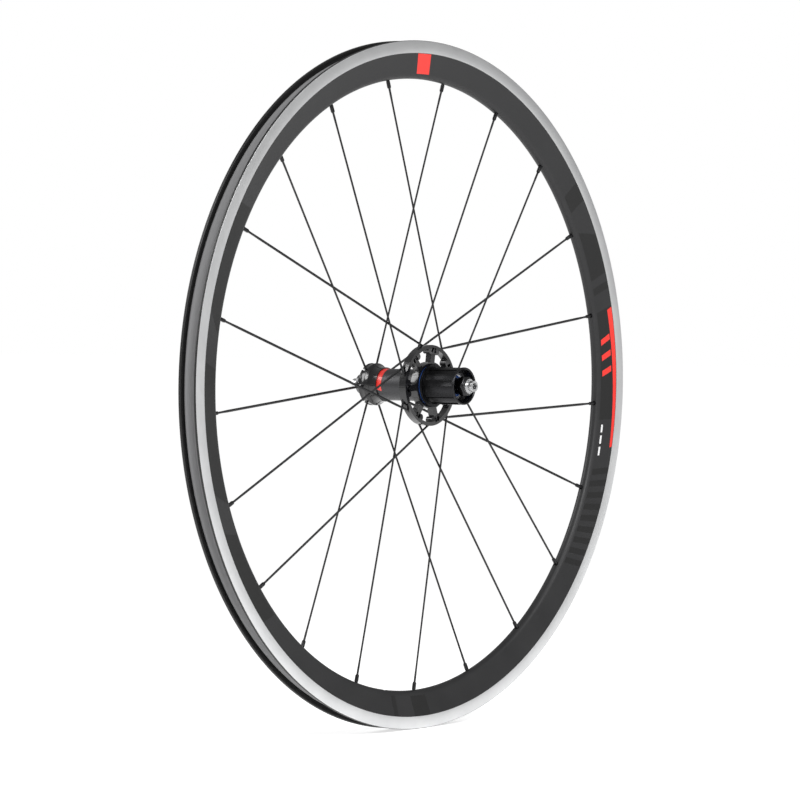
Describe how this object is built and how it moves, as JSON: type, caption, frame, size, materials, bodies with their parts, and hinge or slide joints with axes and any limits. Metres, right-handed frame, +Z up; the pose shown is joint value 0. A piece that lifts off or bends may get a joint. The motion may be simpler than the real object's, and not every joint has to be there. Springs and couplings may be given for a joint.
{
  "type": "bicycle wheel",
  "caption": "Rear road bicycle wheel for rim brakes, with bladed straight-pull spokes, a splined freehub and a hollow quick-release axle.",
  "frame": {"origin": "wheel's centre, on the axle's line and in the rim's middle plane", "axes": "+Y along the axle to the left side, -Y to the drive side, +Z up, +X to the right seen from the drive side"},
  "size_m": [0.6339, 0.141, 0.634],
  "materials": {
    "rim": "black anodised, with machined brake tracks",
    "tape": "grey woven tape",
    "nipple": "black anodised",
    "spoke": "satin black on steel",
    "flange": "gloss black",
    "hub_shell": "satin dark grey with a red band",
    "freehub": "black anodised",
    "bare_aluminium": "turned",
    "grey_aluminium": "satin grey anodised",
    "black_aluminium": "black anodised",
    "hard_steel": "ground and greased",
    "bearing_steel": "polished",
    "spring_steel": "drawn wire and sheet",
    "seal": "blue rubber",
    "dust_cover": "black"
  },
  "bodies": {
    "axle": {"axle": "bare_aluminium", "left_locknut": "grey_aluminium", "left_spacer": "bare_aluminium", "hub_spacer": "bare_aluminium", "freehub_spacer": "bare_aluminium", "drive_spacer": "black_aluminium", "drive_locknut": "black_aluminium", "drive_end_collar": "bare_aluminium", "left_hub_bearing_inner": "bearing_steel", "drive_hub_bearing_inner": "bearing_steel", "inner_freehub_bearing_inner": "bearing_steel", "outer_freehub_bearing_inner": "bearing_steel"},
    "wheel": {"rim": "rim", "rim_tape": "tape", "nipples_drive": "nipple", "nipples_left": "nipple", "spoke_01": "spoke", "spoke_02": "spoke", "spoke_03": "spoke", "spoke_04": "spoke", "spoke_05": "spoke", "spoke_06": "spoke", "spoke_07": "spoke", "spoke_08": "spoke", "spoke_09": "spoke", "spoke_10": "spoke", "spoke_11": "spoke", "spoke_12": "spoke", "spoke_13": "spoke", "spoke_14": "spoke", "spoke_15": "spoke", "spoke_16": "spoke", "spoke_17": "spoke", "spoke_18": "spoke", "spoke_19": "spoke", "spoke_20": "spoke", "spoke_21": "spoke", "left_flange": "flange", "hub_tube": "hub_shell", "drive_flange": "flange", "ratchet_ring": "hard_steel", "hub_bearing_seals": "seal", "left_dust_cover": "dust_cover", "left_hub_bearing_outer": "bearing_steel", "drive_hub_bearing_outer": "bearing_steel"},
    "freehub": {"freehub_body": "freehub", "freehub_seal": "seal", "freehub_sleeve": "bare_aluminium", "bearing_circlip": "spring_steel", "freehub_bearing_seals": "seal", "pawl_spring": "spring_steel", "inner_freehub_bearing_outer": "bearing_steel", "outer_freehub_bearing_outer": "bearing_steel"},
    "left_hub_balls": {"left_hub_bearing_balls": "bearing_steel"},
    "drive_hub_balls": {"drive_hub_bearing_balls": "bearing_steel"},
    "inner_freehub_balls": {"inner_freehub_bearing_balls": "bearing_steel"},
    "outer_freehub_balls": {"outer_freehub_bearing_balls": "bearing_steel"},
    "pawl_1": {"pawl_1": "hard_steel"},
    "pawl_2": {"pawl_2": "hard_steel"},
    "pawl_3": {"pawl_3": "hard_steel"}
  },
  "joints": [
    {"name": "wheel_spin", "type": "hinge", "parent": "axle", "child": "wheel", "pos_m": [0, 0, 0], "axis": [0, 1, 0], "continuous": true},
    {"name": "freehub_spin", "type": "hinge", "parent": "axle", "child": "freehub", "pos_m": [0, -0.0354, 0], "axis": [0, 1, 0], "continuous": true},
    {"name": "left_hub_balls_roll", "type": "hinge", "parent": "axle", "child": "left_hub_balls", "pos_m": [0, 0.047, 0], "axis": [0, 1, 0], "continuous": true},
    {"name": "drive_hub_balls_roll", "type": "hinge", "parent": "axle", "child": "drive_hub_balls", "pos_m": [0, -0.004, 0], "axis": [0, 1, 0], "continuous": true},
    {"name": "inner_freehub_balls_roll", "type": "hinge", "parent": "axle", "child": "inner_freehub_balls", "pos_m": [0, -0.026, 0], "axis": [0, 1, 0], "continuous": true},
    {"name": "outer_freehub_balls_roll", "type": "hinge", "parent": "axle", "child": "outer_freehub_balls", "pos_m": [0, -0.045, 0], "axis": [0, 1, 0], "continuous": true},
    {"name": "pawl_1_pivot", "type": "hinge", "parent": "freehub", "child": "pawl_1", "pos_m": [-0.0055, -0.0155, 0.00953], "axis": [0, 1, 0], "range_deg": [-14, 0]},
    {"name": "pawl_2_pivot", "type": "hinge", "parent": "freehub", "child": "pawl_2", "pos_m": [-0.0055, -0.0155, -0.00953], "axis": [0, 1, 0], "range_deg": [-14, 0]},
    {"name": "pawl_3_pivot", "type": "hinge", "parent": "freehub", "child": "pawl_3", "pos_m": [0.011, -0.0155, 0], "axis": [0, 1, 0], "range_deg": [-14, 0]}
  ],
  "couplings": [
    {"joint": "left_hub_balls_roll", "follows": "wheel_spin", "ratio": 0.5889},
    {"joint": "drive_hub_balls_roll", "follows": "wheel_spin", "ratio": 0.5889},
    {"joint": "inner_freehub_balls_roll", "follows": "freehub_spin", "ratio": 0.5889},
    {"joint": "outer_freehub_balls_roll", "follows": "freehub_spin", "ratio": 0.5889}
  ]
}
